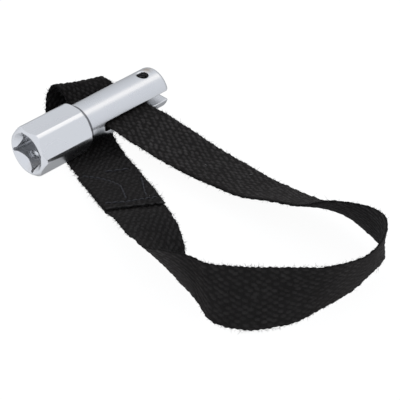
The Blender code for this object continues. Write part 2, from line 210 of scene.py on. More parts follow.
# The two selvedges of the webbing, left and right, along its run, in mm from DRIVE_CENTRE.
ROUTE = [
    ((37.5, 9.6, 0.0), (62.9, 9.6, 0.0)),
    ((37.7, 0.0, 0.0), (63.1, 0.0, 0.0)),
    ((38.1, -9.8, 0.0), (63.5, -9.8, 0.0)),
    ((38.6, -22.2, -1.4), (64.1, -21.4, -0.4)),
    ((39.4, -37.6, -2.8), (64.7, -36.8, -2.4)),
    ((40.3, -53.2, -3.4), (65.7, -51.8, -4.9)),
    ((41.6, -68.6, -2.9), (66.4, -67.0, -6.0)),
    ((42.5, -84.0, -1.6), (67.5, -82.5, -7.0)),
    ((45.0, -99.0, 2.6), (68.5, -98.0, -6.5)),
    ((48.0, -113.5, 6.0), (69.8, -113.5, -5.8)),
    ((52.6, -127.6, 13.0), (68.2, -129.6, -6.6)),
    ((56.0, -142.5, 16.2), (64.5, -144.0, -8.0)),
    ((54.9, -152.5, 16.0), (57.7, -149.3, -9.0)),
    ((46.0, -158.2, 13.4), (46.9, -150.5, -10.0)),
    ((35.2, -159.0, 11.4), (36.3, -150.8, -11.2)),
    ((19.8, -155.7, 14.0), (20.3, -149.8, -11.5)),
    ((8.0, -145.5, 14.8), (4.7, -147.6, -11.5)),
    ((-2.2, -133.7, 15.6), (-9.9, -141.1, -11.3)),
    ((-12.3, -121.8, 15.5), (-14.8, -127.8, -11.5)),
    ((-14.4, -112.0, 14.8), (-11.1, -116.6, -11.5)),
    ((-16.8, -101.8, 12.4), (-7.1, -106.4, -11.8)),
    ((-18.4, -91.2, 9.2), (-4.1, -96.6, -11.1)),
    ((-16.7, -81.4, 6.8), (5.9, -91.9, -6.3)),
    ((-13.0, -72.0, 5.0), (11.1, -83.6, -3.2)),
    ((-8.5, -62.5, 2.5), (15.3, -74.7, -2.0)),
    ((-2.0, -48.5, -1.5), (20.8, -59.8, -3.0)),
    ((4.5, -34.5, -5.0), (27.5, -46.0, -6.0)),
    ((10.5, -20.5, -8.5), (34.0, -31.5, -8.5)),
    ((16.6, -5.6, -11.2), (41.2, -17.2, -10.8)),
    ((24.0, 8.2, -11.5), (48.0, -2.5, -11.5)),
    ((29.0, 17.5, -11.0), (52.0, 7.0, -11.5)),
    ((33.0, 26.0, -6.5), (56.0, 16.5, -11.5)),
    ((35.8, 28.2, -1.2), (59.0, 22.5, -9.5)),
    ((37.6, 28.0, 3.6), (61.6, 24.6, -4.6)),
    ((38.5, 24.0, 6.1), (63.1, 23.6, -0.1)),
    ((38.0, 16.5, 2.0), (63.5, 16.8, 1.6)),
]

# The lowest that webbing and fibres reach, just above the floor, in mm from DRIVE_CENTRE.
LOWEST = 0.02 - DRIVE_CENTRE.z / MM

# ---------------------------------------------------------------- camera, floor and lights

CAMERA_PLACE = DRIVE_CENTRE + Vector((-393.16, -495.88, 428.83)) * MM
CAMERA_PITCH = math.radians(90.0 - 35.81)
CAMERA_HEADING = math.radians(-45.12)
CAMERA_LENS = 160.45
FLOOR_HALF_SIDE = 3.0
FLOOR_GLOW = 0.95

# Which way the tent is bright. Half of a direction's share of this, plus TENT_LEVEL, picks a tone.
TENT_RISE = (-1.3, -0.55, 1.0)
TENT_LEVEL = 0.834
TENT_TONES = [
    (0.05, (0.34, 0.348, 0.36)),
    (0.3, (0.55, 0.565, 0.59)),
    (0.45, (0.645, 0.665, 0.7)),
    (0.6, (0.69, 0.71, 0.75)),
    (0.8, (0.77, 0.795, 0.84)),
    (0.92, (0.81, 0.835, 0.885)),
]
STRIP_PLACE = DRIVE_CENTRE + 1.2 * Vector((0.514, -0.07, 0.855))
STRIP_SIZE = (0.46, 0.95)
STRIP_POWER = 0.64
STRIP_COLOUR = (1.0, 0.91, 0.78)


def make_camera():
    camera = bpy.data.objects.new("camera", bpy.data.cameras.new("camera"))
    bpy.context.scene.collection.objects.link(camera)
    camera.location = CAMERA_PLACE
    camera.rotation_euler = (CAMERA_PITCH, 0.0, CAMERA_HEADING)
    camera.data.lens = CAMERA_LENS
    camera.data.sensor_width = 36.0
    camera.data.clip_start = 0.01
    camera.data.clip_end = 20.0
    bpy.context.scene.camera = camera


def make_floor():
    """A pale sheet lit from within."""
    floor_mesh = bpy.data.meshes.new("floor")
    half = FLOOR_HALF_SIDE
    corners = [(-half, -half, 0.0), (half, -half, 0.0), (half, half, 0.0), (-half, half, 0.0)]
    floor_mesh.from_pydata(corners, [], [(0, 1, 2, 3)])
    floor = bpy.data.objects.new("floor", floor_mesh)
    bpy.context.scene.collection.objects.link(floor)
    paper, nodes, links, shader = new_material("lit_acrylic", (0.1, 0.1, 0.1), 0.9)
    shader.inputs["Emission Color"].default_value = (1.0, 1.0, 1.0, 1.0)
    shader.inputs["Emission Strength"].default_value = FLOOR_GLOW
    shader.inputs["Specular IOR Level"].default_value = 0.0
    grain = noise(nodes, links, 900.0)
    links.new(bump(nodes, links, grain, 0.0001, 0.02), shader.inputs["Normal"])
    floor_mesh.materials.append(paper)
    # The tent's darker lower half is what lights and mirrors in the undersides, in place of the lit floor.
    floor.visible_glossy = False
    floor.visible_diffuse = False


def make_tent():
    """A light tent: brightest overhead and towards -X and -Y, darker behind and below."""
    world = bpy.data.worlds.new("light_tent")
    world.use_nodes = True
    nodes, links = world.node_tree.nodes, world.node_tree.links
    direction = nodes.new("ShaderNodeTexCoord")
    rise = nodes.new("ShaderNodeVectorMath")
    rise.operation = "DOT_PRODUCT"
    rise.inputs[1].default_value = TENT_RISE
    links.new(direction.outputs["Generated"], rise.inputs[0])
    halved = nodes.new("ShaderNodeMath")
    halved.operation = "MULTIPLY_ADD"
    halved.inputs[1].default_value = 0.5
    halved.inputs[2].default_value = TENT_LEVEL
    links.new(rise.outputs["Value"], halved.inputs[0])
    tent = ramp(nodes, links, halved.outputs["Value"], TENT_TONES)
    links.new(tent, nodes["Background"].inputs["Color"])
    bpy.context.scene.world = world


def make_strip_light():
    """A warm strip that is mirrored in the steel. The webbing is lit by the tent alone, from all sides."""
    data = bpy.data.lights.new("overhead_strip", "AREA")
    data.shape = "RECTANGLE"
    data.size, data.size_y = STRIP_SIZE
    data.energy = STRIP_POWER
    data.color = STRIP_COLOUR
    strip = bpy.data.objects.new("overhead_strip", data)
    bpy.context.scene.collection.objects.link(strip)
    strip.location = STRIP_PLACE
    strip.rotation_euler = (DRIVE_CENTRE - STRIP_PLACE).to_track_quat("-Z", "Y").to_euler()
    strip.visible_diffuse = False


# ---------------------------------------------------------------- materials

# Middle, in mm from DRIVE_CENTRE, and radius of the patch of painted shade and dark reflection on the
# shank, and of the warm stains on the steel.
PAINTED_SHADE_PATCH = ((33.2, -8.9, -3.6), 6.6)
STAINS = [((72.3, 1.2, 9.4), 4.2), ((4.5, -2.6, -7.4), 7.5)]


def new_material(name, colour, roughness, metallic=0.0):
    material = bpy.data.materials.new(name)
    material.use_nodes = True
    nodes, links = material.node_tree.nodes, material.node_tree.links
    shader = nodes["Principled BSDF"]
    shader.inputs["Base Color"].default_value = (*colour, 1.0)
    shader.inputs["Roughness"].default_value = roughness
    shader.inputs["Metallic"].default_value = metallic
    return material, nodes, links, shader


def ramp(nodes, links, source, stops):
    """A colour ramp on a source socket. The stops are (position, colour or grey)."""
    node = nodes.new("ShaderNodeValToRGB")
    elements = node.color_ramp.elements
    while len(elements) < len(stops):
        elements.new(0.5)
    for element, (position, value) in zip(elements, stops):
        element.position = position
        element.color = (*value, 1.0) if isinstance(value, tuple) else (value, value, value, 1.0)
    links.new(source, node.inputs["Fac"])
    return node.outputs["Color"]


def noise(nodes, links, scale, detail=3.0, stretch=(1.0, 1.0, 1.0)):
    place = nodes.new("ShaderNodeTexCoord")
    mapping = nodes.new("ShaderNodeMapping")
    mapping.inputs["Scale"].default_value = stretch
    texture = nodes.new("ShaderNodeTexNoise")
    texture.inputs["Scale"].default_value = scale
    texture.inputs["Detail"].default_value = detail
    links.new(place.outputs["Object"], mapping.inputs["Vector"])
    links.new(mapping.outputs["Vector"], texture.inputs["Vector"])
    return texture.outputs["Fac"]


def bump(nodes, links, height, distance, strength=1.0, under=None):
    node = nodes.new("ShaderNodeBump")
    node.inputs["Strength"].default_value = strength
    node.inputs["Distance"].default_value = distance
    links.new(height, node.inputs["Height"])
    if under is not None:
        links.new(under, node.inputs["Normal"])
    return node.outputs["Normal"]


def mix(nodes, links, factor, first, second, blend="MIX"):
    node = nodes.new("ShaderNodeMix")
    node.data_type = "RGBA"
    node.blend_type = blend
    for socket, value in (("Factor", factor), ("A", first), ("B", second)):
        target = [i for i in node.inputs if i.name == socket and i.enabled][0]
        if isinstance(value, bpy.types.NodeSocket):
            links.new(value, target)
        elif isinstance(value, tuple):
            target.default_value = (*value, 1.0)
        else:
            target.default_value = value
    return [o for o in node.outputs if o.enabled][0]


def spot(nodes, links, centre, radius):
    """A soft round patch round a point in mm from DRIVE_CENTRE: 1 at the point, 0 beyond the radius."""
    place = nodes.new("ShaderNodeTexCoord")
    mapping = nodes.new("ShaderNodeMapping")
    mapping.vector_type = "TEXTURE"
    mapping.inputs["Location"].default_value = DRIVE_CENTRE + Vector(centre) * MM
    mapping.inputs["Scale"].default_value = (radius * MM,) * 3
    ball = nodes.new("ShaderNodeTexGradient")
    ball.gradient_type = "SPHERICAL"
    links.new(place.outputs["Object"], mapping.inputs["Vector"])
    links.new(mapping.outputs["Vector"], ball.inputs["Vector"])
    return ball.outputs["Fac"]


def plated_steel():
    """Satin plating with fine grain, turning lines, pits, rubbed edges, two warm stains and a patch of
    painted shade and dark reflection.
    """
    material, nodes, links, shader = new_material("plated_steel", (0.755, 0.765, 0.785), 0.27, 1.0)
    grain = noise(nodes, links, 5200.0, 2.0)
    turning = noise(nodes, links, 900.0, 3.0, (3.2, 0.02, 0.02))
    clouds = noise(nodes, links, 55.0, 3.0)
    specks = noise(nodes, links, 620.0, 5.0)
    patches = noise(nodes, links, 700.0, 4.0)
    colour = ramp(nodes, links, clouds, [(0.3, (0.735, 0.745, 0.768)), (0.7, (0.772, 0.782, 0.8))])
    pits = ramp(nodes, links, specks, [(0.7, 0.0), (0.78, 0.22)])
    colour = mix(nodes, links, pits, colour, (0.5, 0.5, 0.51))
    # A patch of painted shade and dark reflection darkens the shank's lower near side beside the hexagon.
    painted_shade = ramp(nodes, links, spot(nodes, links, *PAINTED_SHADE_PATCH), [(0.12, 0.0), (0.5, 0.95)])
    colour = mix(nodes, links, painted_shade, colour, (0.2, 0.21, 0.22))
    for centre, radius in STAINS:
        warm = mix(nodes, links, 1.0, spot(nodes, links, centre, radius), patches, "MULTIPLY")
        stain = ramp(nodes, links, warm, [(0.12, 0.0), (0.4, 0.75)])
        colour = mix(nodes, links, stain, colour, (0.52, 0.44, 0.36))
    # The hexagon is polished brighter than the shank, and a ring of painted shade lies against its
    # shoulder.
    place = nodes.new("ShaderNodeTexCoord")
    split = nodes.new("ShaderNodeSeparateXYZ")
    links.new(place.outputs["Object"], split.inputs["Vector"])
    away = nodes.new("ShaderNodeMapRange")
    away.inputs["From Min"].default_value = DRIVE_CENTRE.x + (HEX_LENGTH - 1.0) * MM
    away.inputs["From Max"].default_value = DRIVE_CENTRE.x + (HEX_LENGTH + 3.0) * MM
    links.new(split.outputs["X"], away.inputs["Value"])
    head = ramp(nodes, links, away.outputs["Result"], [(0.1, 0.5), (0.22, 0.0)])
    colour = mix(nodes, links, head, colour, (0.88, 0.885, 0.895))
    painted_shoulder_shade = ramp(nodes, links, away.outputs["Result"], [(0.2, 0.0), (0.26, 0.9), (0.585, 0.9), (0.66, 0.0)])
    colour = mix(nodes, links, painted_shoulder_shade, colour, (0.12, 0.12, 0.13))
    geometry = nodes.new("ShaderNodeNewGeometry")
    rubbed = ramp(nodes, links, geometry.outputs["Pointiness"], [(0.505, 0.0), (0.56, 1.0)])
    colour = mix(nodes, links, rubbed, colour, (0.86, 0.86, 0.87))
    links.new(colour, shader.inputs["Base Color"])
    links.new(ramp(nodes, links, clouds, [(0.25, 0.24), (0.75, 0.31)]), shader.inputs["Roughness"])
    fine = bump(nodes, links, grain, 0.00002, 0.35)
    links.new(bump(nodes, links, turning, 0.00003, 0.25, fine), shader.inputs["Normal"])
    return material


def spring_steel():
    """Black oxidised pin steel with a few bare spots."""
    material, nodes, links, shader = new_material("spring_steel", (0.05, 0.05, 0.054), 0.5, 1.0)
    clouds = noise(nodes, links, 420.0, 4.0)
    oxide = ramp(nodes, links, clouds, [(0.35, (0.035, 0.035, 0.038)), (0.75, (0.11, 0.105, 0.1))])
    links.new(oxide, shader.inputs["Base Color"])
    links.new(ramp(nodes, links, clouds, [(0.3, 0.45), (0.7, 0.62)]), shader.inputs["Roughness"])
    links.new(bump(nodes, links, noise(nodes, links, 3000.0), 0.00002, 0.6), shader.inputs["Normal"])
    return material


def attribute(nodes, name):
    node = nodes.new("ShaderNodeAttribute")
    node.attribute_name = name
    return node.outputs["Vector"]


def noise_on(nodes, links, place, scale, detail, stretch=(1.0, 1.0, 1.0), turn=0.0):
    """Noise on a given vector, stretched and turned in its first two directions."""
    mapping = nodes.new("ShaderNodeMapping")
    mapping.inputs["Scale"].default_value = stretch
    mapping.inputs["Rotation"].default_value = (0.0, 0.0, turn)
    texture = nodes.new("ShaderNodeTexNoise")
    texture.inputs["Scale"].default_value = scale
    texture.inputs["Detail"].default_value = detail
    texture.inputs["Roughness"].default_value = 0.65
    links.new(place, mapping.inputs["Vector"])
    links.new(mapping.outputs["Vector"], texture.inputs["Vector"])
    return texture.outputs["Fac"]


def black_webbing():
    """Black spun yarn: slanting fibres on every float, painted shade in the gaps and painted light on the
    crowns, uneven dye with painted light and shade along the loop, and a dusty warm sheen.
    """
    material, nodes, links, shader = new_material("black_webbing", (0.02, 0.019, 0.0185), 0.85)
    place = attribute(nodes, "weave")
    yarn = nodes.new("ShaderNodeSeparateXYZ")
    links.new(attribute(nodes, "yarn"), yarn.inputs["Vector"])
    fibres = noise_on(nodes, links, place, 3.4, 6.0, (1.0, 3.4, 1.0), math.radians(24.0))
    flecks = noise_on(nodes, links, place, 2.1, 3.0)
    patches = noise_on(nodes, links, place, 0.11, 3.0)
    colour = ramp(nodes, links, patches, [(0.3, (0.0248, 0.024, 0.0236)), (0.7, (0.0348, 0.0336, 0.033))])
    rusty = ramp(nodes, links, flecks, [(0.52, 0.0), (0.7, 0.7)])
    colour = mix(nodes, links, rusty, colour, (0.044, 0.032, 0.028))
    light = ramp(nodes, links, fibres, [(0.33, 0.3), (0.7, 1.75)])
    colour = mix(nodes, links, 1.0, colour, light, "MULTIPLY")
    # Painted shade darkens the gaps between the floats, and painted light brightens their crowns.
    height = ramp(nodes, links, yarn.outputs["X"], [(0.0, 0.3), (0.42, 0.72), (1.0, 1.25)])
    colour = mix(nodes, links, 1.0, colour, height, "MULTIPLY")
    # Uneven dye together with painted light and shade along the loop, and painted shade near the driver,
    # under the cut end and on the near limb's lower selvedge.
    dye_and_painted_light = ramp(nodes, links, yarn.outputs["Y"], [(0.0, 0.0), (1.0, TONE_SCALE)])
    colour = mix(nodes, links, 1.0, colour, dye_and_painted_light, "MULTIPLY")
    # The under face is darker and a little bluer than the top face.
    side = nodes.new("ShaderNodeSeparateXYZ")
    links.new(place, side.inputs["Vector"])
    under_face_darkening = ramp(nodes, links, side.outputs["Z"], [(0.0, (1.0, 1.0, 1.0)), (1.0, (0.62, 0.64, 0.65))])
    colour = mix(nodes, links, 1.0, colour, under_face_darkening, "MULTIPLY")
    frayed = ramp(nodes, links, yarn.outputs["Z"], [(0.0, 0.0), (1.0, 0.75)])
    colour = mix(nodes, links, frayed, colour, (0.06, 0.058, 0.058))
    links.new(colour, shader.inputs["Base Color"])
    shader.inputs["Specular IOR Level"].default_value = 0.05
    shader.inputs["Sheen Weight"].default_value = 0.038
    shader.inputs["Sheen Roughness"].default_value = 0.5
    shader.inputs["Sheen Tint"].default_value = (1.0, 0.86, 0.8, 1.0)
    links.new(ramp(nodes, links, fibres, [(0.3, 0.76), (0.7, 0.95)]), shader.inputs["Roughness"])
    links.new(bump(nodes, links, fibres, 0.00018, 0.9), shader.inputs["Normal"])
    return material


def black_thread():
    """Bonded sewing thread: a little smoother and bluer than the webbing, dusty where it is rubbed."""
    material, nodes, links, shader = new_material("black_thread", (0.014, 0.0145, 0.019), 0.6)
    fibres = noise(nodes, links, 2600.0, 4.0)
    dust = noise(nodes, links, 500.0, 3.0)
    colour = ramp(nodes, links, fibres, [(0.3, (0.006, 0.0061, 0.009)), (0.7, (0.018, 0.018, 0.025))])
    rubbed = ramp(nodes, links, dust, [(0.5, 0.0), (0.8, 0.4)])
    links.new(mix(nodes, links, rubbed, colour, (0.035, 0.035, 0.041)), shader.inputs["Base Color"])
    links.new(ramp(nodes, links, fibres, [(0.3, 0.5), (0.7, 0.75)]), shader.inputs["Roughness"])
    links.new(bump(nodes, links, fibres, 0.00006, 0.7), shader.inputs["Normal"])
    return material


def loose_fibre(name, dark, pale):
    """Loose fibre, uneven from end to end."""
    material, nodes, links, shader = new_material(name, pale, 0.85)
    uneven = noise(nodes, links, 900.0, 3.0)
    links.new(ramp(nodes, links, uneven, [(0.3, dark), (0.7, pale)]), shader.inputs["Base Color"])
    shader.inputs["Specular IOR Level"].default_value = 0.15
    links.new(ramp(nodes, links, uneven, [(0.3, 0.75), (0.7, 0.95)]), shader.inputs["Roughness"])
    links.new(bump(nodes, links, uneven, 0.00003, 0.5), shader.inputs["Normal"])
    return material


# ---------------------------------------------------------------- solids given by a distance function


def round_max(a, b, radius):
    """The larger of two distances, with the edge between them rounded off."""
    near = np.maximum(radius - np.abs(a - b), 0.0) / radius
    return np.maximum(a, b) + near * near * radius / 4


def round_min(a, b, radius):
    return -round_max(-a, -b, radius)


def hexagon(y, z):
    """Distance to a hexagon with one flat up and one down."""
    flats = [np.abs(y * math.sin(a) + z * math.cos(a)) for a in (0.0, math.pi / 3, -math.pi / 3)]
    return np.maximum(np.maximum(flats[0], flats[1]), flats[2]) - HEX_HALF_FLATS


def cone(x, r, x0, r0, x1, r1):
    """Distance outside a solid cone whose surface passes through (x0, r0) and (x1, r1)."""
    length = math.hypot(x1 - x0, r1 - r0)
    return ((r - r0) * (x1 - x0) - (x - x0) * (r1 - r0)) / length


def driver_blank(x, y, z):
    """The turned and milled outside of the driver."""
    r = np.hypot(y, z)
    head = r - HEX_CORNER_RADIUS
    head = np.maximum(head, cone(x, r, 0.0, FACE_RADIUS, FACE_CHAMFER + 0.9, HEX_CORNER_RADIUS + 0.1))
    step = HEX_CORNER_RADIUS - SHOULDER_RADIUS
    head = np.maximum(head, cone(x, r, HEX_LENGTH - step, HEX_CORNER_RADIUS, HEX_LENGTH, SHOULDER_RADIUS))
    head = round_max(head, hexagon(y, z), HEX_EDGE_BLEND)
    head = round_max(head, x - HEX_LENGTH, SHOULDER_BLEND)
    head = round_max(head, -x, FACE_BLEND)
    shank = round_max(r - SHANK_RADIUS, x - DRIVER_LENGTH, 2.2 * END_ROUNDING)
    shank = np.maximum(shank, HEX_LENGTH / 2 - x)
    return round_min(head, shank, SHANK_BLEND)


def socket(x, y, z):
    """The square socket with its corner reliefs, drilled bottom, countersink and detent dimples."""
    across = y * math.sin(DRIVE_TURN) - z * math.cos(DRIVE_TURN)
    up = y * math.cos(DRIVE_TURN) + z * math.sin(DRIVE_TURN)
    square = np.maximum(np.abs(across), np.abs(up)) - DRIVE_HALF_SIDE
    corner = DRIVE_HALF_SIDE - 0.35 * DRIVE_RELIEF_RADIUS
    relief = np.hypot(np.abs(across) - corner, np.abs(up) - corner) - DRIVE_RELIEF_RADIUS
    hole = round_max(np.minimum(square, relief), x - DRIVE_DEPTH, SOCKET_BLEND)
    r = np.hypot(y, z)
    point = cone(x, r, DRIVE_DEPTH, 0.93 * DRIVE_HALF_SIDE, DRIVE_DEPTH + DRILL_POINT, 0.0)
    point = np.maximum(point, DRIVE_DEPTH - 0.5 - x)
    mouth = cone(x, r, 0.0, COUNTERSINK_RADIUS, COUNTERSINK_DEPTH, COUNTERSINK_FLOOR_RADIUS)
    mouth = np.maximum(mouth, x - COUNTERSINK_DEPTH)
    result = np.minimum(hole, point)
    dimple_centre = DRIVE_HALF_SIDE + DETENT_DEPTH - DETENT_RADIUS
    for a, b in ((across, up), (up, across)):
        from_centre = np.sqrt((np.abs(a) - dimple_centre) ** 2 + b * b + (x - DETENT_FROM_FACE) ** 2)
        result = round_min(result, from_centre - DETENT_RADIUS, 0.2)
    return round_min(result, mouth, SOCKET_BLEND)


def webbing_slot(x, y, z):
    """The slot with rounded inner corners, and with the tips of its two tines rounded off."""
    side = np.abs(z) - SLOT_HALF_GAP
    slot = round_max(side, SLOT_START - x, 2.2 * SLOT_CORNER)
    past = np.maximum(x - (DRIVER_LENGTH - TINE_ROUNDING), 0.0)
    tip = TINE_ROUNDING - np.hypot(past, np.maximum(TINE_ROUNDING - side, 0.0))
    return np.where(past > 0, tip, slot)


def pin_hole(x, y, z):
    r = np.hypot(x - PIN_FROM_FACE, y)
    surface = np.sqrt(np.maximum(SHANK_RADIUS**2 - y * y, 0.0))
    chamfer = (r - PIN_HOLE_RADIUS + (surface - np.abs(z)) - PIN_HOLE_CHAMFER) / math.sqrt(2)
    return np.minimum(r - PIN_HOLE_RADIUS, chamfer)


def driver_distance(points):
    x, y, z = points
    solid = round_max(driver_blank(x, y, z), -socket(x, y, z), SOCKET_BLEND)
    solid = round_max(solid, -webbing_slot(x, y, z), SLOT_BLEND)
    return round_max(solid, -pin_hole(x, y, z), PIN_BLEND)


def pin_distance(points):
    x, y, z = points
    x = x - PIN_FROM_FACE
    wall = np.abs(np.hypot(x, y) - (PIN_RADIUS - PIN_WALL / 2)) - PIN_WALL / 2
    wall = round_max(wall, np.abs(z) - PIN_HALF_LENGTH, 0.5)
    slit = np.maximum(np.abs(y) - PIN_SLIT / 2, -x)
    return round_max(wall, -slit, PIN_BLEND)


def mesh_from_distance(name, distance, low, high, cell):
    """Nets the zero surface of a distance function on a grid, then moves each point onto it."""
    axes = [np.arange(a - 2 * cell, b + 2.5 * cell, cell) for a, b in zip(low, high)]
    grid = np.stack(np.meshgrid(*axes, indexing="ij"))
    field = distance(grid)
    inside = field < 0
    shape = np.array(field.shape) - 1
    total = np.zeros(shape)
    place = np.zeros((3, *shape))

    def window(start):
        return field[tuple(slice(first, first + count) for first, count in zip(start, shape))]

    # Each cell's point is the mean of the places where the surface crosses its edges.
    for axis in range(3):
        ahead = np.eye(3, dtype=int)[axis]
        others = [k for k in range(3) if k != axis]
        for i in (0, 1):
            for j in (0, 1):
                start = np.zeros(3, int)
                start[others[0]], start[others[1]] = i, j
                a, b = window(start), window(start + ahead)
                crosses = (a < 0) != (b < 0)
                share = np.where(crosses, a / np.where(crosses, a - b, 1.0), 0.0)
                total += crosses
                for k in range(3):
                    place[k] += crosses * (start[k] + (share if k == axis else 0.0))
    used = total > 0
    index = np.full(shape, -1)
    index[used] = np.arange(used.sum())
    cells = np.stack(np.nonzero(used)).astype(float)
    points = (cells + place[:, used] / total[used]) * cell + np.array([a[0] for a in axes])[:, None]
    # A grid edge that the surface crosses gives a face between the four cells round it.
    faces = []
    for axis in range(3):
        u, v = [k for k in range(3) if k != axis]
        low_end = inside[tuple(slice(1, n) if k != axis else slice(0, n) for k, n in enumerate(shape))]
        high_end = inside[tuple(slice(1, n) if k != axis else slice(1, n + 1) for k, n in enumerate(shape))]
        where = np.stack(np.nonzero(low_end != high_end))
        grid_at = where.copy()
        grid_at[u] += 1
        grid_at[v] += 1
        quad = []
        for du, dv in ((-1, -1), (0, -1), (0, 0), (-1, 0)):
            at = grid_at.copy()
            at[u] += du
            at[v] += dv
            quad.append(index[tuple(at)])
        quad = np.stack(quad, 1)
        out_ahead = low_end[tuple(where)]
        if axis == 1:
            out_ahead = ~out_ahead
        quad[~out_ahead] = quad[~out_ahead][:, ::-1]
        faces.append(quad)
    faces = np.concatenate(faces)
    for _ in range(SETTLING_ROUNDS):
        slope = gradient(distance, points)
        points = points - slope * distance(points) / np.maximum((slope * slope).sum(0), 0.3)
    return solid_mesh(name, points.T, faces), gradient(distance, points).T


def gradient(distance, points, step=0.02):
    rows = []
    for k in range(3):
        offset = np.zeros((3, 1))
        offset[k] = step
        rows.append((distance(points + offset) - distance(points - offset)) / (2 * step))
    return np.stack(rows)


def solid_mesh(name, points_mm, *face_groups):
    """A smooth shaded mesh. Each group of faces is an array with one row of corners for each face."""
    mesh = bpy.data.meshes.new(name)
    points = np.asarray(points_mm, float) * MM + np.array(DRIVE_CENTRE)
    corners = np.concatenate([np.ravel(group) for group in face_groups])
    sides = np.concatenate([np.full(len(group), np.shape(group)[1]) for group in face_groups])
    starts = np.cumsum(sides) - sides
    mesh.vertices.add(len(points))
    mesh.vertices.foreach_set("co", points.astype(np.float32).ravel())
    mesh.loops.add(len(corners))
    mesh.loops.foreach_set("vertex_index", corners.astype(np.int32))
    mesh.polygons.add(len(sides))
    mesh.polygons.foreach_set("loop_start", starts.astype(np.int32))
    mesh.update(calc_edges=True)
    mesh.shade_smooth()
    return mesh


def add_piece(mesh, material, nodes, body=None):
    piece = bpy.data.objects.new(mesh.name, mesh)
    bpy.context.scene.collection.objects.link(piece)
    mesh.materials.append(material)
    if nodes:
        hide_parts(*nodes)
    if body is None:
        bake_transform(piece)
    else:
        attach(piece, body)
    return piece


def make_driver(material):
    size = HEX_CORNER_RADIUS
    mesh, normals = mesh_from_distance(
        "driver_body", driver_distance, (0.0, -size, -size), (DRIVER_LENGTH, size, size), DRIVER_CELL
    )
    mesh.normals_split_custom_set_from_vertices(normals / np.linalg.norm(normals, axis=1)[:, None])
    add_piece(mesh, material, ["driver"], "driver")


def make_spring_pin(material):
    low = (PIN_FROM_FACE - PIN_RADIUS, -PIN_RADIUS, -PIN_HALF_LENGTH)
    high = (PIN_FROM_FACE + PIN_RADIUS, PIN_RADIUS, PIN_HALF_LENGTH)
    mesh, normals = mesh_from_distance("slotted_pin", pin_distance, low, high, PIN_CELL)
    mesh.normals_split_custom_set_from_vertices(normals / np.linalg.norm(normals, axis=1)[:, None])
    add_piece(mesh, material, ["spring_pin"], "driver")


# ---------------------------------------------------------------- webbing


def smooth_through(points, per_span=24):
    """A closed Catmull-Rom curve through the points, as an array."""
    points = np.array(points, float)
    count = len(points)
    u = np.linspace(0.0, 1.0, per_span, endpoint=False)[:, None]
    spans = []
    for i in range(count):
        before, start, end, after = (points[(i + k) % count] for k in (-1, 0, 1, 2))
        spans.append(
            0.5
            * (
                2 * start
                + (end - before) * u
                + (2 * before - 5 * start + 4 * end - after) * u**2
                + (3 * start - before - 3 * end + after) * u**3
            )
        )
    return np.concatenate(spans)


class Run:
    """The webbing's middle line and its directions across and out, by distance from the slot."""

    step = 0.5

    def __init__(self):
        both = smooth_through([left + right for left, right in ROUTE])
        both = np.concatenate([both, both[:1]])
        centre = (both[:, :3] + both[:, 3:]) / 2
        along = np.concatenate([[0.0], np.cumsum(np.linalg.norm(np.diff(centre, axis=0), axis=1))])
        self.length = along[-1]
        count = round(self.length / self.step)
        self.at_mm = np.linspace(0.0, self.length, count, endpoint=False)
        even = np.stack([np.interp(self.at_mm, along, both[:, k]) for k in range(6)], 1)
        even = self.softened(even, RUN_SOFTENING)
        self.centre = (even[:, :3] + even[:, 3:]) / 2
        ahead = np.roll(self.centre, -2, 0) - np.roll(self.centre, 2, 0)
        ahead /= np.linalg.norm(ahead, axis=1)[:, None]
        across = even[:, 3:] - even[:, :3]
        across -= (across * ahead).sum(1)[:, None] * ahead
        across = self.softened(across / np.linalg.norm(across, axis=1)[:, None], RUN_SOFTENING)
        self.across = across / np.linalg.norm(across, axis=1)[:, None]
        out = np.cross(ahead, self.across)
        self.out = out / np.linalg.norm(out, axis=1)[:, None]

    def softened(self, table, width):
        """A closed table averaged over a bell of this width in mm."""
        reach = int(3 * width / self.step)
        weights = np.exp(-0.5 * (np.arange(-reach, reach + 1) * self.step / width) ** 2)
        weights /= weights.sum()
        return sum(w * np.roll(table, k, 0) for w, k in zip(weights, range(-reach, reach + 1)))

    def at(self, distance):
        """Centre, across and out at an array of distances."""
        here = np.mod(distance, self.length)
        result = []
        for table in (self.centre, self.across, self.out):
            closed = np.concatenate([table, table[:1]])
            places = np.append(self.at_mm, self.length)
            result.append(np.stack([np.interp(here, places, closed[:, k]) for k in range(3)], -1))
        return result


def eased(share):
    share = np.clip(share, 0.0, 1.0)
    return share * share * (3 - 2 * share)


def layer_offset(distance, run_length):
    """How far the strip stands off the run, along -out: its cut end is over, and its hidden end under."""
    top = eased((LAP_SETTLED - distance) / LAP_BLEND)
    under = eased((distance - run_length - LAP_CUT_END) / LAP_BLEND + 1.0)
    return LAYER_STEP / 2 * (top - under)


# What sets each float apart, by face, warp yarn and turn: size, place across and along, and tint.
FLOAT_SIZE = RANDOM.uniform(0.66, 1.2, (2, WARP_COUNT, TURN_COUNT))
FLOAT_SHIFT = RANDOM.uniform(-0.3, 0.3, (2, WARP_COUNT, TURN_COUNT))
FLOAT_LATE = RANDOM.uniform(-0.8, 0.8, (2, WARP_COUNT, TURN_COUNT))
FLOAT_TINT = RANDOM.uniform(0.0, 1.0, (2, WARP_COUNT, TURN_COUNT))


